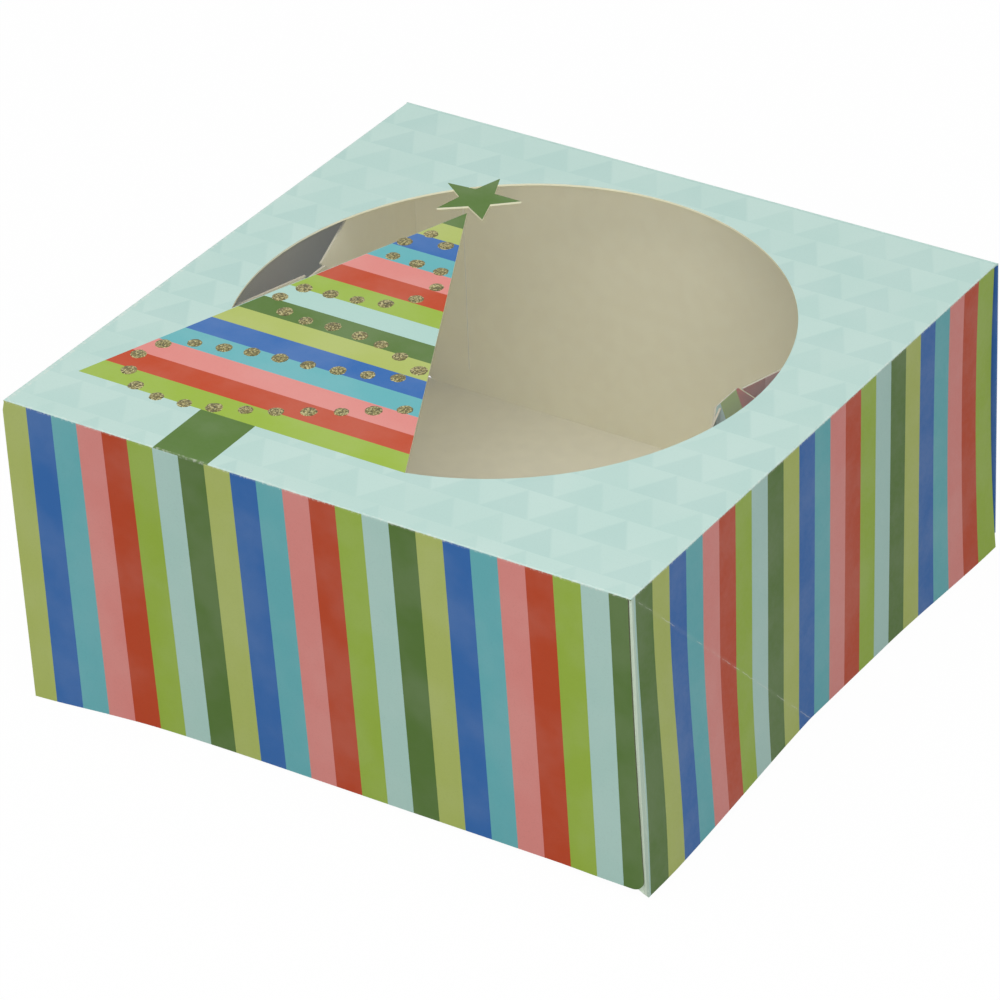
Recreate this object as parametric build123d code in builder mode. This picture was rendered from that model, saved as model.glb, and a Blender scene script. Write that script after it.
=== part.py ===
"""Windowed sweet box of printed paperboard: a hinged lid with full-height flaps over a folding tray.

The frame's origin is at the middle of the closed box on the table, with +Z up and the front at -Y.
Every length is in millimetres and every angle in degrees.
"""

import math
import os

from build123d import *

# Whole box and its board
box_width = 158.75
box_depth = 158.75
box_height = 76.2
board = 0.5
fold_radius_share = 0.7

# Window, die cut in the lid inside a border of board
window_left_border = 15.2
window_right_border = 17.8
window_front_border = 16.4
window_back_border = 11.6
film = 0.15
film_margin = 7.0

# Tree and star left standing in the window, placed as shares of its radii from its middle
tree_tip_share_x = -0.574
tree_tip_share_y = 0.58
tree_left_share = -1.146
tree_right_share = 0.22
tree_foot_rise = 1.5
star_share_x = -0.601
star_share_y = 0.69
star_radius = 10.3
star_inner_radius = 4.35
star_turn = 2.5
star_points = 5

# Lid hinge, a crease along the top of the back wall
hinge_gap = 0.05

# Lid front flap: its ends stop short of the corners, and its foot is sprung in or out
flap_end_relief = 0.8
flap_foot_out_left = 1.4
flap_foot_out_right = -0.8
flap_foot_rise_left = 0.4
flap_foot_rise_right = 1.8

# Lid side flaps: a diagonal crease parts the glued corner from the rest of the flap
flap_crease_angle = 45.0
flap_crease_rise = 2.4
flap_crease_sink = 0.2
flap_corner_flare = 1.0
flap_corner_pull_left = 0.3
flap_corner_pull_right = 1.6
flap_corner_rise = 0.2
flap_back_relief = 2.2
flap_back_rise = 0.5
lid_tab_width = 13.0
lid_tab_taper = 7.0

# Tray inside the lid
tray_front_setback = 3.6
tray_side_clearance = 0.42
tray_top_clearance = 0.3
tray_tab_width = 14.0
tray_tab_taper = 6.0

# Folding side walls of the tray: they lean in, and a gusset at each end follows them
left_wall_lean = 16.0
right_wall_lean = 20.0
gusset_meet_drift = 4.6
gusset_tip_gap = 0.3
fold_gap = 0.15
gusset_gap = 0.7

# Places that follow from the sizes above
half_width = box_width / 2
front_y = -box_depth / 2
back_y = box_depth / 2
under_lid_z = box_height - board
window_radius_x = (box_width - window_left_border - window_right_border) / 2
window_radius_y = (box_depth - window_front_border - window_back_border) / 2
window_x = (window_left_border - window_right_border) / 2
window_y = (window_front_border - window_back_border) / 2
window_foot_y = window_y - window_radius_y
tree_foot_y = window_foot_y + tree_foot_rise
hinge_y = back_y - board / 2
hinge_z = box_height - board / 2
tray_half_width = half_width - board - tray_side_clearance
tray_front_y = front_y + tray_front_setback
tray_top_z = under_lid_z - film - tray_top_clearance
fold_reach = board / 2 + fold_gap
gusset_x = tray_half_width - board / 2
wall_x = gusset_x - board - gusset_gap
wall_axis_z = board / 2
wall_height = tray_top_z - wall_axis_z
gusset_front_y = tray_front_y + board + board / 2
gusset_back_y = back_y - board - board / 2
wall_front_y = gusset_front_y + fold_reach
wall_back_y = gusset_back_y - fold_reach
gusset_meet_y = (gusset_front_y + gusset_back_y) / 2 + gusset_meet_drift


def board_panel(corners, inward, thickness=board):
    """A flat piece of board through its outer corners, given its thickness along inward."""
    across = corners[1] - corners[0]
    face = Plane(origin=corners[0], x_dir=across, z_dir=across.cross(corners[2] - corners[0]))
    with BuildPart() as panel:
        with BuildSketch(face):
            with BuildLine():
                Polyline([face.to_local_coords(corner) for corner in corners], close=True)
            make_face()
        extrude(amount=thickness, dir=inward)
    return panel


def sprung_panel(first_edge, second_edge, inward):
    """A slightly twisted piece of board, ruled between two of its edges."""
    with BuildPart() as panel:
        for start, end in (first_edge, second_edge):
            section = Plane(origin=start, x_dir=end - start, z_dir=(end - start).cross(inward))
            rim = (start, end, end + inward * board, start + inward * board)
            with BuildSketch(section):
                with BuildLine():
                    Polyline([section.to_local_coords(corner) for corner in rim], close=True)
                make_face()
        loft(ruled=True)
    return panel


def save(panel, name):
    """Label a finished piece and write it as a STEP file."""
    panel.part.label = name
    export_step(panel.part, f"parts/{name}.step")


def star_corners():
    """The star's outline, point and notch in turn, about its own centre."""
    step = 360 / (2 * star_points)
    for index in range(2 * star_points):
        radius = star_inner_radius if index % 2 else star_radius
        angle = math.radians(90 + star_turn + index * step)
        yield radius * math.cos(angle), radius * math.sin(angle)


def make_lid_panel():
    """The top of the lid, with its window, tree and star cut as one piece."""
    lid_back_y = hinge_y - board / 2 - hinge_gap
    with BuildPart() as panel:
        with BuildSketch(Plane.XY.offset(under_lid_z)):
            with Locations((0, (front_y + lid_back_y) / 2)):
                Rectangle(box_width, lid_back_y - front_y)
            with Locations((window_x, window_y)):
                Ellipse(window_radius_x, window_radius_y, mode=Mode.SUBTRACT)
            with BuildLine():
                tip = (
                    window_x + tree_tip_share_x * window_radius_x,
                    window_y + tree_tip_share_y * window_radius_y,
                )
                left_x = window_x + tree_left_share * window_radius_x
                right_x = window_x + tree_right_share * window_radius_x
                Polyline(
                    tip,
                    (left_x, tree_foot_y),
                    (left_x, window_foot_y),
                    (right_x, window_foot_y),
                    (right_x, tree_foot_y),
                    close=True,
                )
            make_face()
            star_x = window_x + star_share_x * window_radius_x
            star_y = window_y + star_share_y * window_radius_y
            with BuildLine(Location((star_x, star_y))):
                Polyline(list(star_corners()), close=True)
            make_face()
        extrude(amount=board)
        top_edges = panel.faces().sort_by(Axis.Z)[-1].outer_wire().edges()
        side_folds = top_edges.filter_by(Axis.Y)
        front_fold = top_edges.filter_by(Axis.X).sort_by(Axis.Y)[0]
        fillet([*side_folds, front_fold], fold_radius_share * board)
    save(panel, "lid_panel")


def make_window_film():
    """The clear film glued under the lid, wider than the window all round."""
    with BuildPart() as panel:
        with BuildSketch(Plane.XY.offset(under_lid_z - film)):
            with Locations((window_x, window_y)):
                Rectangle(2 * (window_radius_x + film_margin), 2 * (window_radius_y + film_margin))
        extrude(amount=film)
    save(panel, "window_film")


def make_lid_front_flap():
    """The flap that hangs from the lid over the tray's front wall."""
    end_x = half_width - flap_end_relief
    left_foot = Vector(-end_x, front_y - flap_foot_out_left, flap_foot_rise_left)
    right_foot = Vector(end_x, front_y - flap_foot_out_right, flap_foot_rise_right)
    left_edge = (Vector(-end_x, front_y, under_lid_z), left_foot)
    right_edge = (Vector(end_x, front_y, under_lid_z), right_foot)
    save(sprung_panel(left_edge, right_edge, Vector(0, 1, 0)), "lid_front_flap")


def make_lid_side(side, name, pull):
    """One side of the lid: the flap, its creased corner and the tab glued behind the front flap."""
    inward = Vector(-side, 0, 0)
    rearward = Vector(0, 1, 0)
    tab_top = Vector(side * half_width, front_y + board, under_lid_z)
    tab_foot = Vector(side * (half_width + flap_corner_flare), front_y + board + pull, flap_corner_rise)
    down = (tab_foot - tab_top).normalized()
    tab = [
        tab_top,
        tab_foot,
        tab_foot + inward * lid_tab_width - down * lid_tab_taper,
        tab_top + inward * lid_tab_width + down * lid_tab_taper,
    ]
    save(board_panel(tab, rearward), f"lid_{name}_glue_tab")

    corner_top = tab_top + rearward * board
    corner_foot = tab_foot + rearward * board
    crease_run = (under_lid_z - flap_crease_rise) * math.tan(math.radians(flap_crease_angle))
    crease_foot = Vector(
        side * (half_width - flap_crease_sink), corner_top.Y + crease_run, flap_crease_rise
    )
    save(board_panel([corner_top, corner_foot, crease_foot], inward), f"lid_{name}_corner")

    flap_back_y = back_y - flap_back_relief
    back_top = Vector(side * half_width, flap_back_y, under_lid_z)
    back_foot = Vector(side * half_width, flap_back_y, flap_back_rise)
    flap = sprung_panel((corner_top, crease_foot), (back_top, back_foot), inward)
    save(flap, f"lid_{name}_flap")


def make_tray_floor():
    """The floor of the tray, with round folds along its sides where the side walls turn."""
    with BuildPart() as panel:
        with BuildSketch(Plane.XZ.offset(-back_y)):
            SlotCenterToCenter(2 * wall_x, board)
        extrude(amount=back_y - tray_front_y)
    panel.part = Pos(0, 0, board / 2) * panel.part
    save(panel, "tray_floor")


def make_tray_front_wall():
    """The tray's own front wall, behind the lid's front flap."""
    with BuildPart() as panel:
        with BuildSketch(Plane.XY.offset(board)):
            with Locations((0, tray_front_y + board / 2)):
                Rectangle(2 * tray_half_width, board)
        extrude(amount=tray_top_z - board)
    save(panel, "tray_front_wall")


def make_tray_back_wall():
    """The tray's back wall, whose rounded top is the crease that the lid turns on."""
    with BuildPart() as panel:
        with BuildSketch(Plane.YZ.offset(-tray_half_width)):
            with Locations((hinge_y, (board + hinge_z) / 2)):
                Rectangle(board, hinge_z - board)
            with Locations((hinge_y, hinge_z)):
                Circle(board / 2)
        extrude(amount=2 * tray_half_width)
    save(panel, "tray_back_wall")


def make_tray_tab(side, end, name):
    """A tab that holds one gusset, glued inside the front or back wall, with its rounded fold."""
    tab_y = gusset_front_y if end < 0 else gusset_back_y
    fold_x = side * gusset_x
    inner_x = side * (gusset_x - tray_tab_width)
    fold_height = tray_top_z - board - fold_gap
    face = Plane(origin=(0, tab_y - board / 2, 0), x_dir=(1, 0, 0), z_dir=(0, -1, 0))
    with BuildPart() as panel:
        with BuildSketch(face):
            with BuildLine():
                Polyline(
                    (fold_x, board + fold_gap),
                    (fold_x, tray_top_z),
                    (inner_x, tray_top_z - tray_tab_taper),
                    (inner_x, board + fold_gap + tray_tab_taper),
                    close=True,
                )
            make_face()
        extrude(amount=-board)
        with BuildSketch(Plane.XY.offset(board + fold_gap)):
            with Locations((fold_x, tab_y)):
                Circle(board / 2)
        extrude(amount=fold_height)
    save(panel, f"tray_{name}_glue_tab")


def make_tray_wall(side, lean, name):
    """The part of a side wall that stays hinged to the floor, between its two diagonal creases."""
    tilt = math.radians(lean)
    peak_front_y = gusset_shape(lean, -1)[1]
    peak_back_y = gusset_shape(lean, 1)[1]
    face = Plane(
        origin=(side * wall_x, 0, wall_axis_z),
        x_dir=(0, 1, 0),
        z_dir=(math.cos(tilt), 0, side * math.sin(tilt)),
    )
    with BuildPart() as panel:
        with BuildSketch(face):
            with BuildLine():
                Polyline(
                    (wall_front_y, fold_reach),
                    (wall_back_y, fold_reach),
                    (peak_back_y, wall_height),
                    (peak_front_y, wall_height),
                    close=True,
                )
            make_face()
        extrude(amount=board / 2, both=True)
    save(panel, f"tray_{name}_wall")


def gusset_shape(lean, end):
    """The reach of a gusset, and where its tip is and its angle to the side while the wall leans.

    The gussets of one side meet tip to tip, with a gap, once the wall stands upright.
    """
    fold_y = gusset_front_y if end < 0 else gusset_back_y
    reach = abs(gusset_meet_y - fold_y) - gusset_tip_gap / 2
    angle = math.asin(wall_height * math.sin(math.radians(lean)) / reach)
    return reach, fold_y - end * reach * math.cos(angle), math.degrees(angle)


def make_gusset(side, end, lean, name):
    """The corner of a side wall that swings on the front or back wall and follows the folding wall."""
    reach, _, angle = gusset_shape(lean, end)
    turn = math.radians(angle)
    tip_z = wall_axis_z + wall_height * math.cos(math.radians(lean))
    fold_y = gusset_front_y if end < 0 else gusset_back_y
    along = Vector(-side * math.sin(turn), -end * math.cos(turn), 0)
    face = Plane(origin=(side * gusset_x, fold_y, 0), x_dir=along, z_dir=along.cross(Vector(0, 0, 1)))
    with BuildPart() as panel:
        with BuildSketch(face):
            with BuildLine():
                Polyline(
                    (fold_reach, board + fold_gap),
                    (fold_reach, tray_top_z),
                    (reach - fold_gap, tip_z + fold_gap),
                    (reach - fold_gap, tip_z - fold_gap),
                    close=True,
                )
            make_face()
        extrude(amount=board / 2, both=True)
    save(panel, f"tray_{name}_gusset")


os.makedirs("parts", exist_ok=True)
make_lid_panel()
make_window_film()
make_lid_front_flap()
make_lid_side(-1, "left", flap_corner_pull_left)
make_lid_side(1, "right", flap_corner_pull_right)
make_tray_floor()
make_tray_front_wall()
make_tray_back_wall()
for side, side_name, wall_lean in ((-1, "left", left_wall_lean), (1, "right", right_wall_lean)):
    make_tray_wall(side, wall_lean, side_name)
    for end, end_name in ((-1, "front"), (1, "back")):
        make_tray_tab(side, end, f"{side_name}_{end_name}")
        make_gusset(side, end, wall_lean, f"{side_name}_{end_name}")
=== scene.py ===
# Looks of the windowed sweet box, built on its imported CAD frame
import math

import bmesh
import bpy
from mathutils import Matrix, Vector


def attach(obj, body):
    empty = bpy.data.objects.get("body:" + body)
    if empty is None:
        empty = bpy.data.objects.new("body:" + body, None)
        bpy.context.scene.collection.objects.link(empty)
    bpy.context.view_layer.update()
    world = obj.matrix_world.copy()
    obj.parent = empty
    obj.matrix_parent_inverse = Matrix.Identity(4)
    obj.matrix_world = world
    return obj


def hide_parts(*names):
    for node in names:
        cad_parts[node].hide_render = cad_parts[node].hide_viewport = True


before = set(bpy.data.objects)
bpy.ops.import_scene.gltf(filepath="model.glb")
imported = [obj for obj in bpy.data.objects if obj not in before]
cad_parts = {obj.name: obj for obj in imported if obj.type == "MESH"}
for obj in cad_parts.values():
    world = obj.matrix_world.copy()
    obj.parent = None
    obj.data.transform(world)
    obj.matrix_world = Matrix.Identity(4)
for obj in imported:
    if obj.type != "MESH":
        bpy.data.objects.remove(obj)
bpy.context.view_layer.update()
print("frame loaded:", len(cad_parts), "nodes")
mm = 0.001
box = {  # the lid and its board, in mm
    "half": 79.375,  # from the middle to the folds of the lid's top
    "top": 76.2, "board": 0.5,
    "creaseAt": -2.675,  # y + z along a side's diagonal crease
    "creaseRun": 72.9,  # how much less y + z is at the side's front foot
}
underTop = box["top"] - box["board"]

# Camera
shot = {
    "place": (0.558157, -0.847234, 0.668211),
    "aim": (-0.001604, -0.004225, 0.033771),
    "roll": -2.1045,  # degrees
    "lens": 191.14,  # mm, on a sensor 36 mm wide
}
cameraData = bpy.data.cameras.new("camera")
cameraData.lens = shot["lens"]
cameraData.sensor_width = 36
cameraData.clip_start = 0.01
camera = bpy.data.objects.new("camera", cameraData)
bpy.context.scene.collection.objects.link(camera)
look = (Vector(shot["aim"]) - Vector(shot["place"])).to_track_quat("-Z", "Y").to_matrix()
look = look @ Matrix.Rotation(math.radians(shot["roll"]), 3, "Z")
camera.matrix_world = Matrix.Translation(shot["place"]) @ look.to_4x4()
bpy.context.scene.camera = camera
bpy.context.scene.view_settings.view_transform = "Standard"
print("camera set")


def ink(red, green, blue):  # an sRGB colour of 0 to 255 as a linear one
    def linear(value):
        value /= 255
        return value / 12.92 if value <= 0.04045 else ((value + 0.055) / 1.055) ** 2.4
    return (linear(red), linear(green), linear(blue), 1)


def feed(tree, socket, value):
    if isinstance(value, bpy.types.NodeSocket):
        tree.links.new(value, socket)
    else:
        socket.default_value = value


def calc(tree, operation, *values):
    node = tree.nodes.new("ShaderNodeMath")
    node.operation = operation
    for socket, value in zip(node.inputs, values):
        feed(tree, socket, value)
    return node.outputs[0]


def over(tree, share, under, top):  # one colour laid over another
    node = tree.nodes.new("ShaderNodeMix")
    node.data_type = "RGBA"
    feed(tree, node.inputs[0], share)
    feed(tree, node.inputs[6], under)
    feed(tree, node.inputs[7], top)
    return node.outputs[2]


def ease(tree, value, low, high, lowResult=0.0, highResult=1.0):
    node = tree.nodes.new("ShaderNodeMapRange")
    node.interpolation_type = "SMOOTHSTEP"
    for socket, setting in zip(node.inputs, (value, low, high, lowResult, highResult)):
        feed(tree, socket, setting)
    return node.outputs[0]


def placeMm(tree):  # the object's own coordinates in millimetres, and x, y and z apart
    coordinates = tree.nodes.new("ShaderNodeTexCoord")
    scaled = tree.nodes.new("ShaderNodeVectorMath")
    scaled.operation = "SCALE"
    tree.links.new(coordinates.outputs["Object"], scaled.inputs[0])
    scaled.inputs["Scale"].default_value = 1 / mm
    split = tree.nodes.new("ShaderNodeSeparateXYZ")
    tree.links.new(scaled.outputs[0], split.inputs[0])
    return scaled.outputs[0], split.outputs[0], split.outputs[1], split.outputs[2]


def facing(tree, direction):  # 1 where the surface faces that way, -1 where it faces away
    coordinates = tree.nodes.new("ShaderNodeTexCoord")
    dot = tree.nodes.new("ShaderNodeVectorMath")
    dot.operation = "DOT_PRODUCT"
    tree.links.new(coordinates.outputs["Normal"], dot.inputs[0])
    dot.inputs[1].default_value = direction
    return dot.outputs["Value"]


def noise(tree, place, scale, detail=2.0):
    node = tree.nodes.new("ShaderNodeTexNoise")
    feed(tree, node.inputs["Vector"], place)
    node.inputs["Scale"].default_value = scale
    node.inputs["Detail"].default_value = detail
    return node.outputs[0]


def scaledPlace(tree, place, factors):  # for a pattern that is longer one way than another
    node = tree.nodes.new("ShaderNodeVectorMath")
    node.operation = "MULTIPLY"
    tree.links.new(place, node.inputs[0])
    node.inputs[1].default_value = factors
    return node.outputs[0]


def newMaterial(name):
    material = bpy.data.materials.new(name)
    material.use_nodes = True
    tree = material.node_tree
    tree.nodes.clear()
    output = tree.nodes.new("ShaderNodeOutputMaterial")
    shader = tree.nodes.new("ShaderNodeBsdfPrincipled")
    tree.links.new(shader.outputs["BSDF"], output.inputs["Surface"])
    return material, tree, shader


inks = {
    "darkGreen": ink(91, 123, 58),
    "olive": ink(182, 196, 107),
    "blue": ink(58, 112, 181),
    "teal": ink(108, 185, 191),
    "pink": ink(230, 146, 139),
    "red": ink(196, 77, 44),
    "lime": ink(159, 188, 72),
    "mint": ink(183, 219, 209),
    "tabMint": ink(201, 225, 206),  # on the glued tabs; the next one is a painted highlight, the lighter strip beside the front flap's edge
    "tabHighlight": ink(237, 255, 233),
}
board = {
    "inside": ink(253, 248, 217),  # the board's uncoated back, partly its own cream and partly painted light: written lighter so the dim inside of the box renders bright
    "insideDark": ink(251, 245, 213),
    "floor": ink(240, 234, 208),  # the same board on the tray's floor, painted a little darker as shade
    "floorDark": ink(237, 231, 205),
    "rim": ink(255, 253, 226),  # the cut round the window
    "rimDark": ink(232, 226, 192),
    "rawEdge": ink(243, 240, 226),  # where the board is cut elsewhere
    "shadedEdge": ink(206, 198, 172),  # the same cut edge inside the tray, painted darker as shade
    "gapShadowEdge": ink(92, 100, 76),  # the front flap's cut edge, painted dark as the shadow in the gap behind it
    "crack": ink(236, 238, 228),  # paper that shows where the print has cracked
}
stripeOrder = ["blue", "teal", "pink", "red", "lime", "mint", "darkGreen", "olive"]
treeOrder = ["lime", "red", "pink", "teal", "blue", "olive", "darkGreen", "mint"]
stripes = {  # in mm: where a stripe starts, and which comes first there
    "front": {"start": -74.38, "pitch": 6.745, "first": 0},
    "side": {"start": -77.685, "pitch": 6.735, "first": 6},
    "tray": {"start": 3.7, "pitch": 6.735, "order": treeOrder},
}
lastStripe = 77.1  # mm, from where a side's last stripe runs on to the flap's end


def stripeRun(tree, along, start, pitch, first=0, order=stripeOrder):
    past = calc(tree, "SUBTRACT", along, start)
    lap = calc(tree, "FRACT", calc(tree, "DIVIDE", past, pitch * len(order)))
    ramp = tree.nodes.new("ShaderNodeValToRGB")
    ramp.color_ramp.interpolation = "CONSTANT"
    stops = ramp.color_ramp.elements
    while len(stops) < len(order):
        stops.new(0.99)
    for index in range(len(order)):
        stops[index].position = index / len(order)
    for index in range(len(order)):
        stops[index].color = inks[order[(index + first) % len(order)]]
    tree.links.new(lap, ramp.inputs[0])
    return ramp.outputs[0]


printSpan = 200.0  # mm across a bent piece's UV map


def printMm(tree):  # a bent piece keeps the print's own x and z in its UV map, in mm from its middle
    uv = tree.nodes.new("ShaderNodeUVMap")
    uv.uv_map = "print"
    split = tree.nodes.new("ShaderNodeSeparateXYZ")
    tree.links.new(uv.outputs[0], split.inputs[0])
    centred = [calc(tree, "SUBTRACT", split.outputs[index], 0.5) for index in (0, 1)]
    return [calc(tree, "MULTIPLY", value, printSpan) for value in centred]


# How the board looks close up: noise scales per mm, and how strongly each shows
paper = {
    "cloud": 0.06, "cloudShare": 0.05, "pale": ink(255, 255, 250),  # slow drift of the print's tone
    "grain": 2.6, "grainShare": 0.05, "shade": ink(40, 45, 40),
    "fleck": 1.4, "foldWear": (0.06, 0.42),
    "fibre": 3.2, "fibreShare": 0.1, "fibreTone": ink(190, 178, 148), "fibreStretch": (1.0, 1.0, 0.45),
    "mottle": 0.25, "edge": 5.0, "edgeShare": 0.3, "edgeTone": ink(184, 176, 150),
    "satin": 0.9, "satinRough": (0.38, 0.5), "bareRough": 0.84, "specular": 0.11,
    "bumpDepth": 0.00003, "printBump": 0.14, "bareBump": 0.5, "grainBump": 0.6,
}


def inkWear(tree, place, colour, grain, cloudScale=paper["cloud"], grainShare=paper["grainShare"]):
    cloud = noise(tree, place, cloudScale, 3)
    colour = over(tree, ease(tree, cloud, 0.35, 0.7, 0.0, paper["cloudShare"]), colour, paper["pale"])
    return over(tree, ease(tree, grain, 0.5, 0.75, 0.0, grainShare), colour, paper["shade"])


def foldWear(tree, fleck, colour, distance, near, far):  # pale, broken wear along a fold
    close = ease(tree, distance, near, far, 1.0, 0.0)
    worn = calc(tree, "MULTIPLY", close, ease(tree, fleck, 0.48, 0.64, *paper["foldWear"]))
    return over(tree, worn, colour, board["crack"])


def creaseCrack(tree, place, colour, distance):  # a fine white crack with a soft pale band round it
    wander = calc(tree, "MULTIPLY", calc(tree, "SUBTRACT", noise(tree, place, 0.5, 2), 0.5), 0.5)
    distance = calc(tree, "ABSOLUTE", calc(tree, "ADD", distance, wander))
    broken = ease(tree, noise(tree, place, 0.3, 3), 0.45, 0.62, 0.03, 0.4)
    line = calc(tree, "MULTIPLY", ease(tree, distance, 0.05, 0.14, 1.0, 0.0), broken)
    band = ease(tree, distance, 0.1, 0.8, 0.04, 0.0)
    return over(tree, calc(tree, "MAXIMUM", line, band), colour, board["crack"])


def bareBack(tree, place, tone):  # the board's uncoated side
    mottle = noise(tree, place, paper["mottle"], 3)
    return over(tree, ease(tree, mottle, 0.35, 0.65), board[tone], board[tone + "Dark"])


def cutEdge(tree, place, tone, spotTone, share):
    spots = noise(tree, place, paper["edge"], 3)
    return over(tree, ease(tree, spots, 0.4, 0.7, 0.0, share), tone, spotTone)


def finishBoard(tree, shader, place, printed, colour, fibre, grain, bumpStrength):
    feed(tree, shader.inputs["Base Color"], colour)
    satin = ease(tree, noise(tree, place, paper["satin"], 2), 0.3, 0.7, *paper["satinRough"])
    bare = calc(tree, "SUBTRACT", 1.0, printed)
    rough = calc(tree, "ADD", calc(tree, "MULTIPLY", printed, satin),
                 calc(tree, "MULTIPLY", bare, paper["bareRough"]))
    feed(tree, shader.inputs["Roughness"], rough)
    shader.inputs["Specular IOR Level"].default_value = paper["specular"]
    bump = tree.nodes.new("ShaderNodeBump")
    bump.inputs["Distance"].default_value = paper["bumpDepth"]
    feed(tree, bump.inputs["Strength"], bumpStrength)
    height = calc(tree, "ADD", fibre, calc(tree, "MULTIPLY", grain, paper["grainBump"]))
    feed(tree, bump.inputs["Height"], height)
    feed(tree, shader.inputs["Normal"], bump.outputs[0])


def boardMaterial(name, outward, makePrint, folds=(), crease=None, wraps=(), bent=False,
                  alsoPrinted=None, cut="rawEdge", backTone="inside"):
    # outward is the printed side; folds and crease give a distance in mm from a fold; wraps are the
    # directions whose edge faces are printed too, because the board goes on round a fold there
    material, tree, shader = newMaterial(name)
    place, x, y, z = placeMm(tree)
    out = facing(tree, outward)
    printed = calc(tree, "GREATER_THAN", out, 0.5)
    inner = calc(tree, "LESS_THAN", out, -0.5)
    for wrap in wraps:
        printed = calc(tree, "MAXIMUM", printed, calc(tree, "GREATER_THAN", facing(tree, wrap), 0.5))
    if alsoPrinted:
        printed = calc(tree, "MAXIMUM", printed, alsoPrinted(tree, x, y, z))
    colour = makePrint(tree, place, printMm(tree)[0] if bent else x, y, z)

    grain = noise(tree, place, paper["grain"], 3)
    colour = inkWear(tree, place, colour, grain)
    fleck = noise(tree, place, paper["fleck"], 4)
    for makeDistance in folds:
        colour = foldWear(tree, fleck, colour, makeDistance(tree, x, y, z), 0.08, 0.5)
    if crease:
        colour = creaseCrack(tree, place, colour, crease(tree, x, y, z))

    fibre = noise(tree, scaledPlace(tree, place, paper["fibreStretch"]), paper["fibre"], 4)
    inside = bareBack(tree, place, backTone)
    fibreShare = ease(tree, fibre, 0.55, 0.78, 0.0, paper["fibreShare"])
    inside = over(tree, fibreShare, inside, paper["fibreTone"])
    edge = cutEdge(tree, place, board[cut], paper["edgeTone"], paper["edgeShare"])
    colour = over(tree, printed, over(tree, inner, edge, inside), colour)
    bare = calc(tree, "MULTIPLY", calc(tree, "SUBTRACT", 1.0, printed), paper["bareBump"])
    bumpStrength = calc(tree, "ADD", bare, paper["printBump"])
    finishBoard(tree, shader, place, printed, colour, fibre, grain, bumpStrength)
    return material


def dress(names, material):  # a CAD node keeps its mesh and gets a better material
    for name in names:
        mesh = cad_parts[name].data
        if not mesh.materials:
            mesh.materials.append(material)
        for index in range(len(mesh.materials)):
            mesh.materials[index] = material


def alongFront(tree, place, x, y, z):
    return stripeRun(tree, x, **stripes["front"])


def alongSide(run):
    def makePrint(tree, place, x, y, z):
        return stripeRun(tree, calc(tree, "MINIMUM", y, lastStripe), **stripes[run])
    return makePrint


def plain(name):
    def makePrint(tree, place, x, y, z):
        return inks[name]
    return makePrint


# Glued tab of the lid's side: a painted highlight, a lighter strip, runs down beside the front flap's edge
lidTab = {
    "edge": 78.6, "edgeRun": 1.5,  # mm: the flap's edge at the top, and how far it runs out on its way down
    # light gives the painted highlight strip's width in mm, at the top and lower down
    "tall": 75.5, "light": (0.6, 1.0), "soft": 0.12,
}


def tabPrintWithHighlight(tree, place, x, y, z):
    down = calc(tree, "DIVIDE", calc(tree, "SUBTRACT", underTop, z), lidTab["tall"])
    run = calc(tree, "MULTIPLY", calc(tree, "MULTIPLY", down, down), lidTab["edgeRun"])
    edge = calc(tree, "ADD", run, lidTab["edge"])
    past = calc(tree, "SUBTRACT", calc(tree, "ABSOLUTE", x), edge)
    # painted highlight: a lighter strip on the tab beside the flap's edge
    past = calc(tree, "SUBTRACT", past, ease(tree, down, 0.0, 0.3, *lidTab["light"]))
    return over(tree, ease(tree, past, -lidTab["soft"], lidTab["soft"]), inks["tabHighlight"], inks["tabMint"])


def topFold(tree, x, y, z):  # distance below the fold round the lid's top
    return calc(tree, "SUBTRACT", box["top"] - 0.3, z)


def cornerCrease(tree, x, y, z):  # distance from the crease that runs 45 degrees down from the front corner
    past = calc(tree, "SUBTRACT", calc(tree, "ADD", y, z), box["creaseAt"])
    return calc(tree, "MULTIPLY", past, math.sqrt(0.5))


# Lid top: mint with rows of pale triangles, and the striped tree with its trunk and star
pattern = {"columnAt": 57.15, "rowAt": -54.2, "wide": 12.1, "tall": 10.2}
tree2d = {
    "tip": (-37.39, 40.32), "left": -73.35, "right": 12.53, "foot": -61.48, "bands": 15,
    "trunk": (-40.4, -26.1),
}
star = {"middle": (-39.09, 47.51), "radius": 10.3, "notch": 4.35, "turn": 2.5, "bleed": 0.05}
triangleTones = {
    "dark": (ink(187, 218, 211), ink(192, 222, 214)), "light": (ink(198, 226, 218), ink(194, 223, 215)),
}


def leftOf(tree, x, y, start, end):  # mm from the line from start to end, above 0 on its left
    run = Vector(end) - Vector(start)
    run.normalize()
    offset = run.x * start[1] - run.y * start[0]
    value = calc(tree, "SUBTRACT", calc(tree, "MULTIPLY", y, run.x), calc(tree, "MULTIPLY", x, run.y))
    return calc(tree, "SUBTRACT", value, offset)


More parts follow.
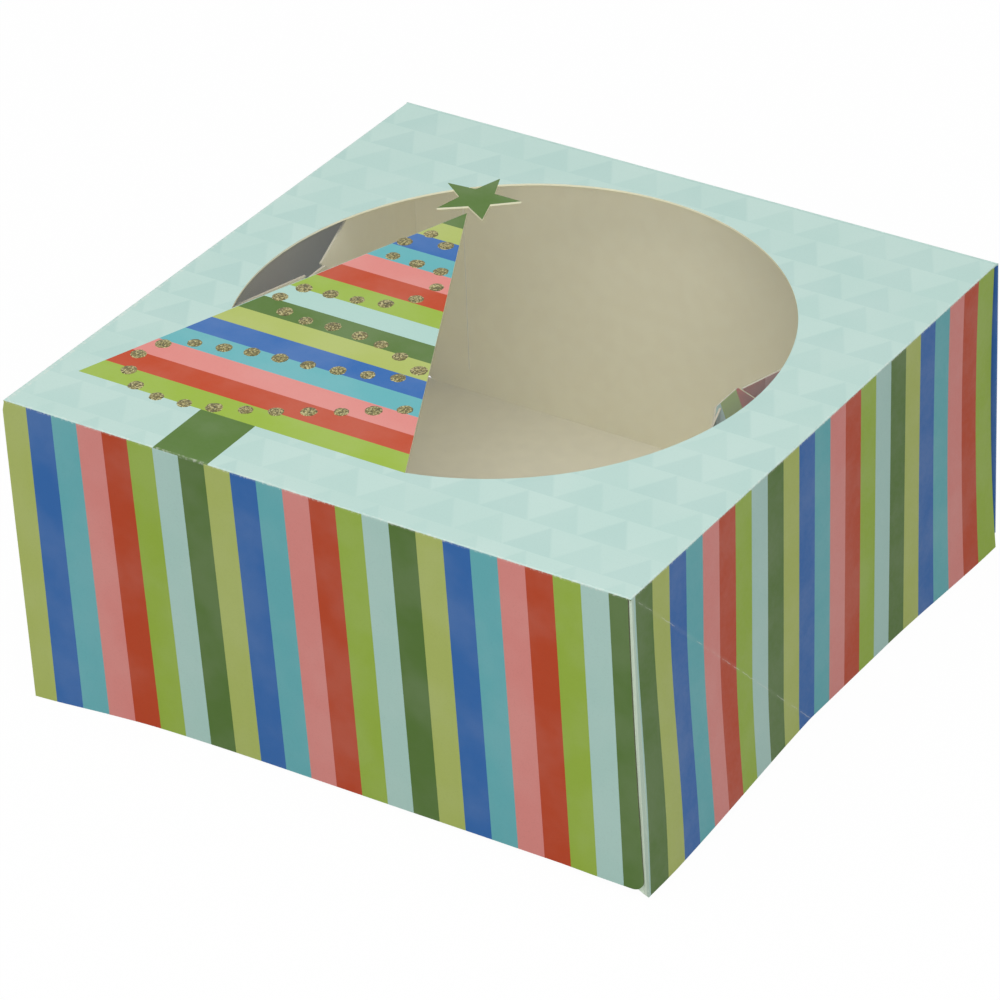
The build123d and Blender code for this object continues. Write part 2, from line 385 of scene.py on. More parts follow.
def triangleField(tree, x, y):
    column = calc(tree, "DIVIDE", calc(tree, "SUBTRACT", x, pattern["columnAt"]), pattern["wide"])
    row = calc(tree, "DIVIDE", calc(tree, "SUBTRACT", y, pattern["rowAt"]), pattern["tall"])
    acrossCell = calc(tree, "ABSOLUTE", calc(tree, "SUBTRACT", calc(tree, "FRACT", column), 0.5))
    climb = calc(tree, "SUBTRACT", 1.0, calc(tree, "FRACT", row))
    spread = calc(tree, "MULTIPLY", acrossCell, 2.0)
    inTriangle = ease(tree, calc(tree, "SUBTRACT", climb, spread), -0.07, 0.09)
    cell = tree.nodes.new("ShaderNodeCombineXYZ")
    half = calc(tree, "MULTIPLY", calc(tree, "SUBTRACT", 1.0, inTriangle), 0.5)
    feed(tree, cell.inputs[0], calc(tree, "FLOOR", calc(tree, "ADD", column, half)))
    feed(tree, cell.inputs[1], calc(tree, "FLOOR", row))
    feed(tree, cell.inputs[2], calc(tree, "ROUND", inTriangle))
    random = tree.nodes.new("ShaderNodeTexWhiteNoise")
    tree.links.new(cell.outputs[0], random.inputs["Vector"])
    dark = over(tree, random.outputs["Value"], *triangleTones["dark"])
    light = over(tree, random.outputs["Value"], *triangleTones["light"])
    return over(tree, inTriangle, light, dark)


def printTree(tree, x, y, colour):
    left, right = tree2d["trunk"]
    fromMiddle = calc(tree, "ABSOLUTE", calc(tree, "SUBTRACT", x, (left + right) / 2))
    trunk = calc(tree, "MULTIPLY", calc(tree, "LESS_THAN", fromMiddle, (right - left) / 2),
                 calc(tree, "LESS_THAN", y, tree2d["foot"]))
    colour = over(tree, trunk, colour, inks["darkGreen"])
    pitch = (tree2d["tip"][1] - tree2d["foot"]) / tree2d["bands"]
    bands = stripeRun(tree, y, tree2d["foot"], pitch, 0, treeOrder)
    leftSide = leftOf(tree, x, y, tree2d["tip"], (tree2d["left"], tree2d["foot"]))
    rightSide = leftOf(tree, x, y, (tree2d["right"], tree2d["foot"]), tree2d["tip"])
    inside = calc(tree, "MINIMUM", leftSide, rightSide)
    inside = calc(tree, "MINIMUM", inside, calc(tree, "SUBTRACT", y, tree2d["foot"]))
    return over(tree, calc(tree, "GREATER_THAN", inside, 0.0), colour, bands)


def printStar(tree, x, y, colour):  # its five points are folded into one half of a point
    dx = calc(tree, "SUBTRACT", x, star["middle"][0])
    dy = calc(tree, "SUBTRACT", y, star["middle"][1])
    square = calc(tree, "ADD", calc(tree, "MULTIPLY", dx, dx), calc(tree, "MULTIPLY", dy, dy))
    length = calc(tree, "SQRT", square)
    angle = calc(tree, "SUBTRACT", calc(tree, "ARCTAN2", dy, dx), math.radians(90 + star["turn"]))
    fifth = math.radians(360 / 5)
    laps = calc(tree, "ADD", calc(tree, "DIVIDE", angle, fifth), 10.5)  # whole laps keep it above 0
    along = calc(tree, "MULTIPLY", calc(tree, "FRACT", laps), fifth)
    folded = calc(tree, "ABSOLUTE", calc(tree, "SUBTRACT", along, fifth / 2))
    px = calc(tree, "MULTIPLY", length, calc(tree, "COSINE", folded))
    py = calc(tree, "MULTIPLY", length, calc(tree, "SINE", folded))
    notch = Vector((star["notch"], 0))
    notch.rotate(Matrix.Rotation(fifth / 2, 2))
    depth = leftOf(tree, px, py, (star["radius"], 0), notch)
    return over(tree, calc(tree, "GREATER_THAN", depth, -star["bleed"]), colour, inks["darkGreen"])


def topPrint(tree, place, x, y, z):
    colour = printTree(tree, x, y, triangleField(tree, x, y))
    colour = printStar(tree, x, y, colour)
    # Past the fold the print is the flap's own
    nearFold = box["half"] - 0.175
    farSide = calc(tree, "GREATER_THAN", calc(tree, "ABSOLUTE", x), nearFold)
    farFront = calc(tree, "LESS_THAN", y, -nearFold)
    low = calc(tree, "LESS_THAN", z, box["top"] - box["board"] / 2)
    sidePrint = stripeRun(tree, y, **stripes["side"])
    frontPrint = stripeRun(tree, x, **stripes["front"])
    colour = over(tree, calc(tree, "MULTIPLY", farSide, low), colour, sidePrint)
    return over(tree, calc(tree, "MULTIPLY", farFront, low), colour, frontPrint)


def fromFolds(tree, x, y, half):  # distance in from the lid's folded sides and front
    sides = calc(tree, "SUBTRACT", half, calc(tree, "ABSOLUTE", x))
    return calc(tree, "MINIMUM", sides, calc(tree, "ADD", y, half))


def lidPanelMaterial():
    material, tree, shader = newMaterial("topPrint")
    place, x, y, z = placeMm(tree)
    up = facing(tree, (0, 0, 1))
    outerEdge = calc(tree, "LESS_THAN", fromFolds(tree, x, y, box["half"]), 0.3)
    inner = calc(tree, "LESS_THAN", up, -0.5)
    wrapped = calc(tree, "MULTIPLY", outerEdge, calc(tree, "SUBTRACT", 1.0, inner))
    printed = calc(tree, "MAXIMUM", calc(tree, "GREATER_THAN", up, 0.5), wrapped)
    grain = noise(tree, place, paper["grain"], 3)
    colour = inkWear(tree, place, topPrint(tree, place, x, y, z), grain, 0.05, 0.04)
    fleck = noise(tree, place, paper["fleck"], 4)
    colour = foldWear(tree, fleck, colour, fromFolds(tree, x, y, box["half"] - 0.075), 0.05, 0.45)
    fibre = noise(tree, place, paper["fibre"], 4)
    rim = cutEdge(tree, place, board["rim"], board["rimDark"], 0.2)
    bare = over(tree, inner, rim, bareBack(tree, place, "inside"))
    finishBoard(tree, shader, place, printed, over(tree, printed, bare, colour), fibre, grain, 0.16)
    return material


dress(["lid_panel"], lidPanelMaterial())
for sideName, outward in (("left", (-1, 0, 0)), ("right", (1, 0, 0))):
    flap = boardMaterial(sideName + "FlapPrint", outward, alongSide("side"), [topFold], cornerCrease)
    dress([f"lid_{sideName}_flap", f"lid_{sideName}_corner"], flap)
    lidTabs = boardMaterial(sideName + "TabPrint", (0, -1, 0), tabPrintWithHighlight, wraps=[outward])
    dress([f"lid_{sideName}_glue_tab"], lidTabs)
    # the tray's cut edges are painted darker, as shade
    wall = boardMaterial(sideName + "WallPrint", outward, alongSide("tray"), cut="shadedEdge")
    dress([f"tray_{sideName}_wall", f"tray_{sideName}_front_gusset", f"tray_{sideName}_back_gusset"], wall)
    for endName, away, tone in (("front", (0, -1, 0), "mint"), ("back", (0, 1, 0), "blue")):
        name = sideName + endName.capitalize() + "TabPrint"
        trayTab = boardMaterial(name, away, plain(tone), wraps=[outward])
        dress([f"tray_{sideName}_{endName}_glue_tab"], trayTab)
# the tray's front and floor get the same painted-shade cut edge
dress(["tray_front_wall"], boardMaterial("trayFrontPrint", (0, -1, 0), alongFront, cut="shadedEdge"))
# the floor's bare side is the board's back in its darker, painted-shade tone
floorPrintAndShade = boardMaterial("trayFloorPrint", (0, 0, -1), plain("mint"), cut="shadedEdge", backTone="floor")
dress(["tray_floor"], floorPrintAndShade)
print("printed board done")


def smoothAt(points, at):  # a smooth curve through a row of points
    last = len(points) - 1
    index = next((i for i in range(last - 1) if at <= points[i + 1][0]), last - 1)
    before, start, end, after = (points[max(0, min(last, index + step))] for step in (-1, 0, 1, 2))
    run = end[0] - start[0]
    t = (at - start[0]) / run
    leave = (end[1] - before[1]) / (end[0] - before[0]) * run
    arrive = (after[1] - start[1]) / (after[0] - start[0]) * run
    return ((2 * t**3 - 3 * t**2 + 1) * start[1] + (t**3 - 2 * t**2 + t) * leave
            + (3 * t**2 - 2 * t**3) * end[1] + (t**3 - t**2) * arrive)


def smoothStep(low, high, value):
    share = max(0.0, min(1.0, (value - low) / (high - low)))
    return share * share * (3 - 2 * share)


def finishPiece(name, mesh, material, body, slotName, *nodes):
    mesh.materials.append(material)
    piece = bpy.data.objects.new(name, mesh)
    bpy.context.scene.collection.objects.link(piece)
    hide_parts(*nodes)
    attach(piece, body)
    return piece


def bentSheet(name, across, down, place, printAt, inward):
    # place gives a point of the printed face in mm, and the board's thickness goes inward from it
    sheet = bmesh.new()
    uvLayer = sheet.loops.layers.uv.new("print")
    uvs, grids = {}, []
    for shift in (Vector((0, 0, 0)), Vector(inward) * box["board"]):
        grid = []
        for u in across:
            column = []
            for v in down:
                vertex = sheet.verts.new((Vector(place(u, v)) + shift) * mm)
                x, z = printAt(u, v)
                uvs[vertex] = (x / printSpan + 0.5, z / printSpan + 0.5)
                column.append(vertex)
            grid.append(column)
        grids.append(grid)
    outer, inner = grids
    lastU, lastV = len(across) - 1, len(down) - 1
    for grid in grids:
        for i in range(lastU):
            for j in range(lastV):
                corners = (grid[i][j], grid[i + 1][j], grid[i + 1][j + 1], grid[i][j + 1])
                sheet.faces.new(corners).smooth = True
    rim = [(i, 0) for i in range(lastU)] + [(lastU, j) for j in range(lastV)]
    rim += [(i, lastV) for i in range(lastU, 0, -1)] + [(0, j) for j in range(lastV, 0, -1)]
    for (i, j), (k, m) in zip(rim, rim[1:] + rim[:1]):
        sheet.faces.new((outer[i][j], outer[k][m], inner[k][m], inner[i][j]))
    for face in sheet.faces:
        for loop in face.loops:
            loop[uvLayer].uv = uvs[loop.vert]
    for edge in sheet.edges:  # only the two broad faces are smooth
        edge.smooth = all(face.smooth for face in edge.link_faces)
    bmesh.ops.recalc_face_normals(sheet, faces=sheet.faces)
    mesh = bpy.data.meshes.new(name)
    sheet.to_mesh(mesh)
    sheet.free()
    return mesh


# Front flap, sprung: its left edge stands proud, and its foot is out at the left and in along the rest
frontFlap = {
    "top": underTop, "front": -box["half"],
    "leftTop": -80.35, "leftFoot": -77.8,  # x of the left edge
    "earOut": 0.5, "earAt": 0.03,  # the ear's reach, and its share of the way down
    "footOut": [(-78.0, -81.0), (-72.0, -80.5), (-59.0, -78.95), (-46.0, -77.85), (-25.0, -77.35),
                (10.0, -77.3), (58.0, -77.3), (68.0, -77.6), (80.2, -77.85)],  # y along the foot
    "footUp": [(-78.0, 0.05), (-46.0, 0.35), (0.0, 0.7), (58.0, 1.1), (80.2, 1.35)],  # z along the foot
    "cornerRound": 3.0,
    "skew": (2.3, 1.0),  # how far the print leans right on its way down, at the left and right
}


def makeFrontFlap():
    flap = frontFlap
    ear = flap["leftTop"] - flap["earOut"]
    leftEdge = [(0.0, flap["leftTop"]), (flap["earAt"], ear), (1.0, flap["leftFoot"])]

    def edges(v):  # x of the left and right edges, at a share of the way down
        left = flap["leftTop"] - v / flap["earAt"] * flap["earOut"]
        if v > flap["earAt"]:
            left = smoothAt(leftEdge, v)
        return left, lidTab["edge"] + lidTab["edgeRun"] * v * v

    def place(u, v):
        footLeft, footRight = edges(1.0)
        footX = footLeft + u * (footRight - footLeft)
        up = smoothAt(flap["footUp"], footX)
        gap = footRight - footX
        rounding = flap["cornerRound"]
        if gap < rounding:
            up += rounding - (rounding**2 - (rounding - gap)**2) ** 0.5
        left, right = edges(v)
        out = smoothAt(flap["footOut"], footX) - flap["front"]
        return left + u * (right - left), flap["front"] + out * v, flap["top"] + (up - flap["top"]) * v

    def printAt(u, v):
        x, y, z = place(u, v)
        return x - (flap["skew"][0] + u * (flap["skew"][1] - flap["skew"][0])) * v, z

    nearCorner = [0.981, 0.985, 0.989, 0.992, 0.995, 0.9975, 0.999, 1.0]
    across = [i / 60 for i in range(59)] + nearCorner
    down = [0.0, flap["earAt"]] + [j / 24 for j in range(1, 25)]
    mesh = bentSheet("front_flap_board", across, down, place, printAt, (0, 1, 0))
    # its cut edge is painted dark, as the shadow of the gap behind the flap
    material = boardMaterial("frontFlapPrint", (0, -1, 0), alongFront, [topFold], bent=True, cut="gapShadowEdge")
    finishPiece("front_flap_board", mesh, material, "lid", "striped_board", "lid_front_flap")


# Right side flap: its back foot springs outwards
rightFlap = {
    "cornerTop": (box["half"], -78.375, underTop), "creaseFoot": (79.175, -5.075, 2.4),
    "backTop": (box["half"], 77.8, underTop), "backFoot": (box["half"], 77.5, 1.2),
    "spring": (3.4, -2.0),  # x out, with the square of the way down and with the way down
    "springFrom": 30.0, "springTo": 78.0, "backLean": 1.2,  # y
}


def makeRightFlap():
    flap = rightFlap

    def place(u, v):
        front = Vector(flap["cornerTop"]).lerp(Vector(flap["creaseFoot"]), v)
        back = Vector(flap["backTop"]).lerp(Vector(flap["backFoot"]), v)
        point = front.lerp(back, u)
        share = smoothStep(flap["springFrom"], flap["springTo"], point.y)
        point.x += share * (flap["spring"][0] * v * v + flap["spring"][1] * v)
        point.y += u**6 * flap["backLean"] * v**3
        return point

    def printAt(u, v):
        point = place(u, v)
        return point.y, point.z

    across = [i / 48 for i in range(49)]
    down = [j / 24 for j in range(25)]
    mesh = bentSheet("right_flap_board", across, down, place, printAt, (-1, 0, 0))
    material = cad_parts["lid_right_flap"].data.materials[0]
    finishPiece("right_flap_board", mesh, material, "lid", "striped_board", "lid_right_flap")


# Tray back wall: a little wider than the tray, so its ends show behind the side flaps
backWall = {
    "middle": 79.125, "top": 75.95, "foot": 0.5, "cornerCut": 4.2,
    "leftHalf": (79.4, 79.5), "rightHalf": (79.55, 80.3),  # half widths at the top and at the foot
    "wrapFrom": 77.6,  # the strip past it folds on round the corner
    "creaseTall": 0.45, "creaseTone": ink(191, 219, 212),
    "nearEnd": [0.006, 0.012, 0.019, 0.0265],  # shares across, for the cut corners
    "creaseSteps": 6,
}


def backWallEnd(tree, x, y, z):
    return calc(tree, "GREATER_THAN", calc(tree, "ABSOLUTE", x), backWall["wrapFrom"])


def backWallPrint(tree, place, x, y, z):  # stripes outside, blue at the ends, mint over the hinge crease
    colour = stripeRun(tree, x, **stripes["front"])
    colour = over(tree, backWallEnd(tree, x, y, z), colour, inks["blue"])
    onCrease = calc(tree, "GREATER_THAN", z, box["top"] - backWall["creaseTall"])
    return over(tree, onCrease, colour, backWall["creaseTone"])


def roundTop(mesh, top, middle, radius):  # the sheet's top edge becomes a half round, the hinge crease
    shape = bmesh.new()
    shape.from_mesh(mesh)
    ends = [vertex for vertex in shape.verts if vertex.co.z > (top - 0.01) * mm]
    ends.sort(key=lambda vertex: (vertex.co.x, vertex.co.y))
    rings = []
    for near, far in (ends[i:i + 2] for i in range(0, len(ends), 2)):
        ring = [near]
        for step in range(1, backWall["creaseSteps"]):
            angle = step / backWall["creaseSteps"] * math.pi
            y = middle - radius * math.cos(angle)
            z = top + radius * math.sin(angle)
            ring.append(shape.verts.new((near.co.x, y * mm, z * mm)))
        ring.append(far)
        rings.append(ring)
    flat = [face for face in shape.faces if all(vertex in ends for vertex in face.verts)]
    bmesh.ops.delete(shape, geom=flat, context="FACES_ONLY")
    for ring, following in zip(rings, rings[1:]):
        for corners in zip(ring, ring[1:], following[1:], following):
            shape.faces.new(corners)
    shape.faces.new(rings[0])
    shape.faces.new(rings[-1])
    bmesh.ops.recalc_face_normals(shape, faces=shape.faces)
    shape.to_mesh(mesh)
    shape.free()


def makeBackWall():
    wall = backWall
    radius = box["board"] / 2

    def place(u, v):
        left = wall["leftHalf"][0] + v * (wall["leftHalf"][1] - wall["leftHalf"][0])
        right = wall["rightHalf"][0] + v * (wall["rightHalf"][1] - wall["rightHalf"][0])
        x = -left + u * (left + right)
        inset = min(x + left, right - x)
        foot = wall["foot"] + max(0.0, wall["cornerCut"] - inset)
        return x, wall["middle"] + radius, wall["top"] - v * (wall["top"] - foot)

    farEnd = [1 - share for share in reversed(wall["nearEnd"])]
    across = [0] + wall["nearEnd"] + [i / 24 for i in range(1, 24)] + farEnd + [1]
    down = [j / 16 for j in range(17)]
    mesh = bentSheet("back_wall_board", across, down, place, lambda u, v: (0, 0), (0, -1, 0))
    roundTop(mesh, wall["top"], wall["middle"], radius)
    material = boardMaterial("backWallPrint", (0, 1, 0), backWallPrint, wraps=[(0, 0, 1)],
                             alsoPrinted=backWallEnd)
    finishPiece("back_wall_board", mesh, material, "tray", "striped_board", "tray_back_wall")


def cutAcross(shape, axis, places):  # more vertices, so that a flat board can bend
    normal = Vector((axis == "x", axis == "y", axis == "z"))
    for at in places:
        everything = shape.verts[:] + shape.edges[:] + shape.faces[:]
        bmesh.ops.bisect_plane(shape, geom=everything, dist=1e-7, plane_co=normal * at * mm, plane_no=normal)


def sprungCopy(name, cuts, shiftAt, body, slotName):  # a copy of a CAD node, with each point moved a little
    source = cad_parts[name].data
    shape = bmesh.new()
    shape.from_mesh(source)
    bmesh.ops.remove_doubles(shape, verts=shape.verts, dist=1e-6)
    for axis, places in cuts:
        cutAcross(shape, axis, places)
    for vertex in shape.verts:
        vertex.co += Vector(shiftAt(*(vertex.co / mm))) * mm
    for face in shape.faces:
        face.smooth = False
    mesh = bpy.data.meshes.new(name + "_board")
    shape.to_mesh(mesh)
    shape.free()
    finishPiece(name + "_board", mesh, source.materials[0], body, slotName, name)


def underCrease(y, z):  # share of the way from a side's diagonal crease, 0, to its front foot, 1
    return max(0.0, (box["creaseAt"] - y - z) / box["creaseRun"])


# Left corner: the lid's top is pulled out there, and the side's front foot is tucked in
leftCorner = {"pull": 1.1, "pullFrom": 50.0, "tuck": 1.3, "tuckFrom": 70.0, "full": 79.0}  # mm


def makePulledCorner():
    corner = leftCorner

    def shiftAt(x, y, z):
        forward = (box["half"] - y) / (2 * box["half"])  # 0 at the back, 1 at the front
        pulled = smoothStep(corner["pullFrom"], corner["full"], -x) * forward * z / box["top"]
        tucked = smoothStep(corner["tuckFrom"], corner["full"], -x) * smoothStep(0, 1, underCrease(y, z))
        return corner["tuck"] * tucked - corner["pull"] * pulled, 0, 0

    for name, slotName in (("lid_panel", "top_board"), ("lid_left_flap", "striped_board"),
                           ("lid_left_corner", "striped_board"), ("lid_left_glue_tab", "plain_board")):
        sprungCopy(name, (), shiftAt, "lid", slotName)


# Right corner under its crease: it springs out, and takes the glued tab's edge with it
rightCorner = {
    "out": 1.92, "forward": 1.3,  # mm
    "fullAt": 0.85,  # share of the way down
    "edgeOut": 0.7, "lift": 0.72,  # shares of the way out
    "edgeFrom": 69.0, "edgeTo": 77.0,  # mm in front of the middle
    "tabRun": 1.0, "tabRamp": 0.6,  # mm that the tab's edge runs out on its way down, and that it drags
    "tabCuts": (78.9, 79.2, 79.5, 79.8), "sideCuts": range(-76, -4, 4), "heights": range(4, 76, 6),
}


def makeRightCorner():
    corner = rightCorner

    def cornerShift(x, y, z):
        share = underCrease(y, z)
        edge = smoothStep(corner["edgeFrom"], corner["edgeTo"], -y)
        out = corner["out"] * smoothStep(0, corner["fullAt"], share) * (1 - (1 - corner["edgeOut"]) * edge)
        return out, -corner["forward"] * share * edge, out * corner["lift"]

    def tabShift(x, y, z):
        share = (underTop - z) / lidTab["tall"]
        near = max(0.0, 1 - (box["half"] + corner["tabRun"] * share - x) / corner["tabRamp"])
        out = corner["out"] * corner["edgeOut"] * smoothStep(0, corner["fullAt"], share) * near
        return out, -corner["forward"] * share * near, out * corner["lift"]

    sideCuts = (("y", corner["sideCuts"]), ("z", corner["heights"]))
    sprungCopy("lid_right_corner", sideCuts, cornerShift, "lid", "striped_board")
    tabCuts = (("x", corner["tabCuts"]), ("z", corner["heights"]))
    sprungCopy("lid_right_glue_tab", tabCuts, tabShift, "lid", "plain_board")


makeFrontFlap()
makeRightFlap()
makeRightCorner()
makeBackWall()
makePulledCorner()
print("sprung board pieces done")

# Clear film under the window
film = {
    "tint": ink(236, 241, 240), "alpha": 0.08, "refraction": 1.49,
    "clouds": 0.05, "roughness": (0.12, 0.2),
    "glue": 0.05,  # mm between it and the board
}


def makeFilm():
    material, tree, shader = newMaterial("clearFilm")
    shader.inputs["Base Color"].default_value = film["tint"]
    shader.inputs["Alpha"].default_value = film["alpha"]
    shader.inputs["IOR"].default_value = film["refraction"]
    clouds = noise(tree, placeMm(tree)[0], film["clouds"], 3)
    feed(tree, shader.inputs["Roughness"], ease(tree, clouds, 0.3, 0.7, *film["roughness"]))
    dress(["window_film"], material)

    def shiftAt(x, y, z):  # its top only
        return 0, 0, -film["glue"] * (z > underTop - 0.01)

    sprungCopy("window_film", (), shiftAt, "lid", "clear_film")


makeFilm()
print("window film done")

# Glitter dots: garlands of raised flakes printed on the tree, in mm on the lid's top
glitter = {
    "dotSize": 3.7, "dotHeight": 0.22, "ragged": 0.16, "seed": 7,
    "garlands": [
        [(-63.9, -55.6), (-58.7, -60.2), (-52.0, -61.8), (-45.0, -61.2), (-38.3, -59.5), (-31.8, -56.9),
         (-25.6, -54.3), (-19.4, -50.8), (-13.2, -47.4), (-7.4, -43.5), (-1.7, -39.8)],  # the lowest
        [(-66.1, -48.9), (-63.9, -42.6), (-58.0, -38.9), (-51.1, -37.4), (-44.7, -35.9), (-37.8, -35.0),
         (-30.7, -34.5), (-23.6, -33.2), (-16.9, -31.6), (-10.4, -29.4)],
        [(-48.4, -17.6), (-42.0, -18.7), (-35.3, -17.9), (-27.8, -18.3), (-21.6, -19.2), (-15.1, -21.5),
         (-8.1, -24.5)],
        [(-53.1, -12.7), (-50.6, -6.8), (-43.8, -6.1), (-37.2, -5.4), (-30.6, -3.7), (-25.9, 1.4),
         (-24.8, 8.1)],
        [(-41.2, 15.2), (-34.5, 14.9), (-27.8, 14.5)],
        [(-42.5, 22.1), (-39.2, 28.0), (-33.3, 25.1)],
    ],
    "flakes": 3.4,  # per mm
    "tones": [(0.2, ink(80, 76, 38)), (0.45, ink(112, 104, 54)), (0.62, ink(144, 133, 78)),
              (0.8, ink(198, 190, 138))],
}


def glitterMaterial():
    material, tree, shader = newMaterial("goldGlitter")
    place = placeMm(tree)[0]
    flakes = tree.nodes.new("ShaderNodeTexVoronoi")
    tree.links.new(place, flakes.inputs["Vector"])
    flakes.inputs["Scale"].default_value = glitter["flakes"]
    grey = tree.nodes.new("ShaderNodeRGBToBW")
    tree.links.new(flakes.outputs["Color"], grey.inputs[0])
    ramp = tree.nodes.new("ShaderNodeValToRGB")
    stops = ramp.color_ramp.elements
    for position, colour in glitter["tones"][1:-1]:
        stops.new(position)
    for stop, (position, colour) in zip(stops, glitter["tones"]):
        stop.position = position
        stop.color = colour
    tree.links.new(grey.outputs[0], ramp.inputs[0])
    tree.links.new(ramp.outputs[0], shader.inputs["Base Color"])
    shader.inputs["Metallic"].default_value = 0.35
    feed(tree, shader.inputs["Roughness"], ease(tree, grey.outputs[0], 0.3, 0.7, 0.3, 0.5))
    bump = tree.nodes.new("ShaderNodeBump")
    bump.inputs["Strength"].default_value = 0.6
    bump.inputs["Distance"].default_value = 0.0001
    tree.links.new(grey.outputs[0], bump.inputs["Height"])
    tree.links.new(bump.outputs[0], shader.inputs["Normal"])
    return material


def dotTree(material):
    group = bpy.data.node_groups.new("glitterDots", "GeometryNodeTree")
    face = group.interface
    face.new_socket("Geometry", in_out="INPUT", socket_type="NodeSocketGeometry")
    sockets = {}
    for name, kind in (("Dot size", "NodeSocketFloat"), ("Dot height", "NodeSocketFloat"),
                       ("Ragged", "NodeSocketFloat"), ("Seed", "NodeSocketInt")):
        sockets[name] = face.new_socket(name, in_out="INPUT", socket_type=kind).identifier
    face.new_socket("Geometry", in_out="OUTPUT", socket_type="NodeSocketGeometry")
    nodes, links = group.nodes, group.links
    given = nodes.new("NodeGroupInput")
    made = nodes.new("NodeGroupOutput")
    ball = nodes.new("GeometryNodeMeshIcoSphere")
    ball.inputs["Radius"].default_value = 0.5
    ball.inputs["Subdivisions"].default_value = 3
    spin = nodes.new("FunctionNodeRandomValue")
    spin.data_type = "FLOAT_VECTOR"
    spin.inputs[0].default_value = (0, 0, 0)
    spin.inputs[1].default_value = (0, 0, 6.28)  # any way round
    links.new(given.outputs["Seed"], spin.inputs["Seed"])
    grow = nodes.new("FunctionNodeRandomValue")  # the dots differ a little in size
    grow.data_type = "FLOAT"
    grow.inputs[2].default_value = 0.9
    grow.inputs[3].default_value = 1.06
    links.new(given.outputs["Seed"], grow.inputs["Seed"])
    size = calc(group, "MULTIPLY", grow.outputs[1], given.outputs["Dot size"])
    shape = nodes.new("ShaderNodeCombineXYZ")
    for socket, value in zip(shape.inputs, (size, size, given.outputs["Dot height"])):
        links.new(value, socket)
    spread = nodes.new("GeometryNodeInstanceOnPoints")
    links.new(given.outputs["Geometry"], spread.inputs["Points"])
    links.new(ball.outputs["Mesh"], spread.inputs["Instance"])
    links.new(spin.outputs[0], spread.inputs["Rotation"])
    links.new(shape.outputs[0], spread.inputs["Scale"])
    real = nodes.new("GeometryNodeRealizeInstances")
    links.new(spread.outputs[0], real.inputs[0])

    where = nodes.new("GeometryNodeInputPosition")  # ragged outline and grainy top
    wobble = nodes.new("ShaderNodeTexNoise")
    wobble.inputs["Scale"].default_value = 1500  # per metre
    links.new(where.outputs[0], wobble.inputs["Vector"])
    centred = nodes.new("ShaderNodeVectorMath")
    centred.operation = "SUBTRACT"
    links.new(wobble.outputs["Color"], centred.inputs[0])
    centred.inputs[1].default_value = (0.5, 0.5, 0.5)
    flat = scaledPlace(group, centred.outputs[0], (1, 1, 0.12))
    push = nodes.new("ShaderNodeVectorMath")
    push.operation = "SCALE"
    links.new(flat, push.inputs[0])
    reach = calc(group, "MULTIPLY", given.outputs["Dot size"], given.outputs["Ragged"])
    links.new(reach, push.inputs["Scale"])
    move = nodes.new("GeometryNodeSetPosition")
    links.new(real.outputs[0], move.inputs["Geometry"])
    links.new(push.outputs[0], move.inputs["Offset"])
    paint = nodes.new("GeometryNodeSetMaterial")
    paint.inputs["Material"].default_value = material
    links.new(move.outputs[0], paint.inputs[0])
    links.new(paint.outputs[0], made.inputs[0])
    return group, sockets


def makeGlitter():
    points = bpy.data.meshes.new("dotPlaces")
    top = box["top"] * mm
    points.from_pydata([(x * mm, y * mm, top) for row in glitter["garlands"] for x, y in row], [], [])
    seedObject = bpy.data.objects.new("dotPlaces", points)
    bpy.context.scene.collection.objects.link(seedObject)
    material = glitterMaterial()
    group, sockets = dotTree(material)
    modifier = seedObject.modifiers.new("dots", "NODES")
    modifier.node_group = group
    modifier[sockets["Dot size"]] = glitter["dotSize"] * mm
    modifier[sockets["Dot height"]] = glitter["dotHeight"] * mm
    modifier[sockets["Ragged"]] = glitter["ragged"]
    modifier[sockets["Seed"]] = glitter["seed"]
    evaluated = seedObject.evaluated_get(bpy.context.evaluated_depsgraph_get())
    mesh = bpy.data.meshes.new_from_object(evaluated)
    bpy.data.objects.remove(seedObject)
    cut = bmesh.new()
    cut.from_mesh(mesh)
    for vertex in cut.verts:  # the dots sit on the print, with nothing sunk in the board
        vertex.co.z = max(vertex.co.z, top)
    bmesh.ops.remove_doubles(cut, verts=cut.verts, dist=1e-7)
    bmesh.ops.recalc_face_normals(cut, faces=cut.faces)
    cut.to_mesh(mesh)
    cut.free()
    dots = bpy.data.objects.new("glitter_dots", mesh)
    bpy.context.scene.collection.objects.link(dots)
    if not mesh.materials:
        mesh.materials.append(material)
    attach(dots, "lid")
    print("glitter dots done:", len(mesh.polygons), "faces")


makeGlitter()

# Pale floor and soft studio light
studio = {
    "floorSize": 6.0, "floorLow": 0.0001,  # m, and how far it lies below the box
    "floorTone": ink(162, 162, 162), "glow": 1.04, "glowShare": 0.94, "skyStrength": 0.37,
    "lamps": {  # place, size in m and power
        "overhead": ((0.07, -0.42, 1.62), 1.3, 14.8),
        "fill": ((0.93, -1.27, 0.61), 0.9, 8.6),
    },
}
white = (1, 1, 1, 1)


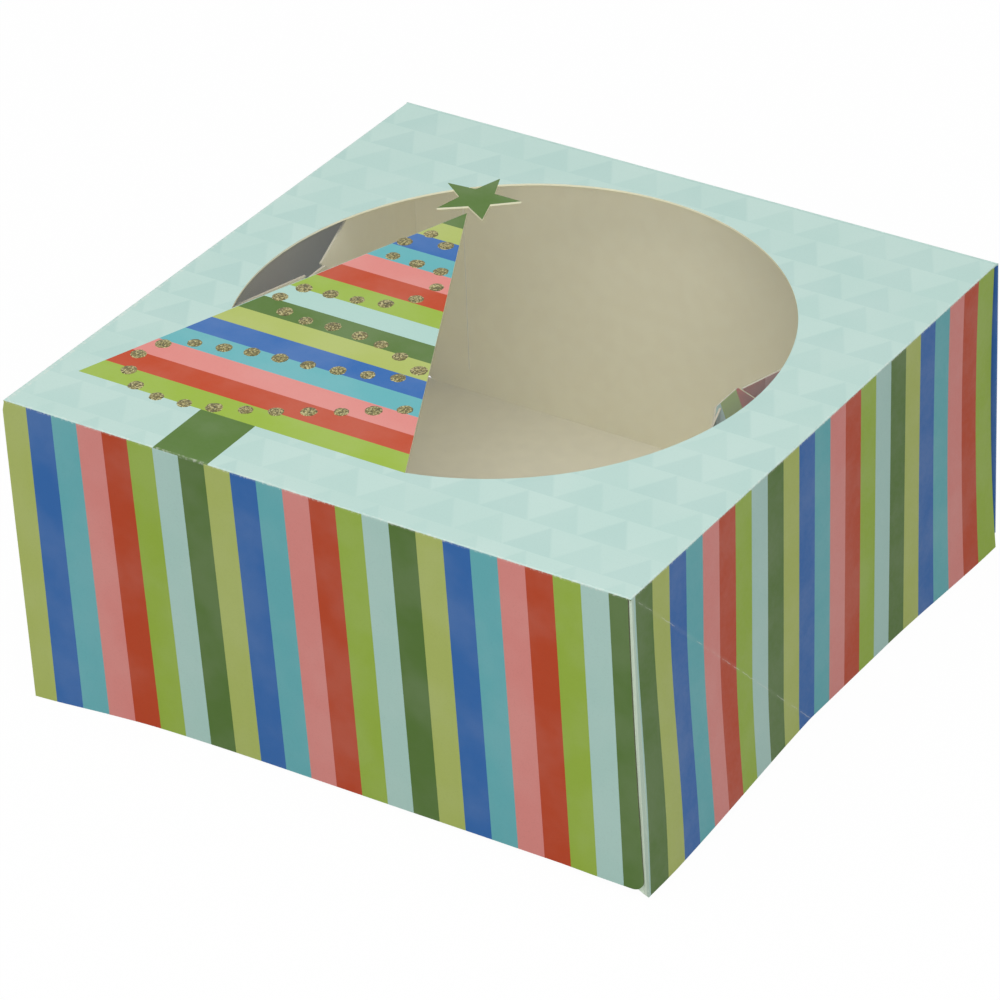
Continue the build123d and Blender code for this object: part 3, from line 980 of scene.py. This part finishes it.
def seenRays(tree):  # rays that show the background itself, straight or in a gloss or through the film
    rays = tree.nodes.new("ShaderNodeLightPath")
    through = calc(tree, "MAXIMUM", rays.outputs["Is Glossy Ray"], rays.outputs["Is Transmission Ray"])
    return calc(tree, "MAXIMUM", rays.outputs["Is Camera Ray"], through)


def makeFloor():
    material, tree, shader = newMaterial("paleFloor")
    shader.inputs["Base Color"].default_value = studio["floorTone"]
    shader.inputs["Roughness"].default_value = 0.9
    shader.inputs["Specular IOR Level"].default_value = 0.0
    output = next(node for node in tree.nodes if node.type == "OUTPUT_MATERIAL")
    glow = tree.nodes.new("ShaderNodeEmission")
    glow.inputs["Color"].default_value = white
    glow.inputs["Strength"].default_value = studio["glow"]
    mix = tree.nodes.new("ShaderNodeMixShader")
    feed(tree, mix.inputs[0], calc(tree, "MULTIPLY", seenRays(tree), studio["glowShare"]))
    tree.links.new(shader.outputs[0], mix.inputs[1])
    tree.links.new(glow.outputs[0], mix.inputs[2])
    tree.links.new(mix.outputs[0], output.inputs["Surface"])
    reach = studio["floorSize"] / 2
    corners = [(x, y, -studio["floorLow"]) for x, y in (
        (-reach, -reach), (reach, -reach), (reach, reach), (-reach, reach))]
    mesh = bpy.data.meshes.new("floor")
    mesh.from_pydata(corners, [], [(0, 1, 2, 3)])
    mesh.materials.append(material)
    floor = bpy.data.objects.new("floor", mesh)
    bpy.context.scene.collection.objects.link(floor)


def makeLight():
    world = bpy.data.worlds.new("studio")
    bpy.context.scene.world = world
    world.use_nodes = True
    tree = world.node_tree
    sky = tree.nodes["Background"]
    sky.inputs["Color"].default_value = white
    seen = calc(tree, "MULTIPLY", seenRays(tree), 1 - studio["skyStrength"])
    feed(tree, sky.inputs["Strength"], calc(tree, "ADD", studio["skyStrength"], seen))
    for name, (place, size, power) in studio["lamps"].items():
        lampData = bpy.data.lights.new(name, "AREA")
        lampData.size = size
        lampData.energy = power
        lamp = bpy.data.objects.new(name, lampData)
        lamp.location = place
        lamp.rotation_euler = (-Vector(place)).to_track_quat("-Z", "Y").to_euler()
        bpy.context.scene.collection.objects.link(lamp)


makeFloor()
makeLight()
print("studio done")
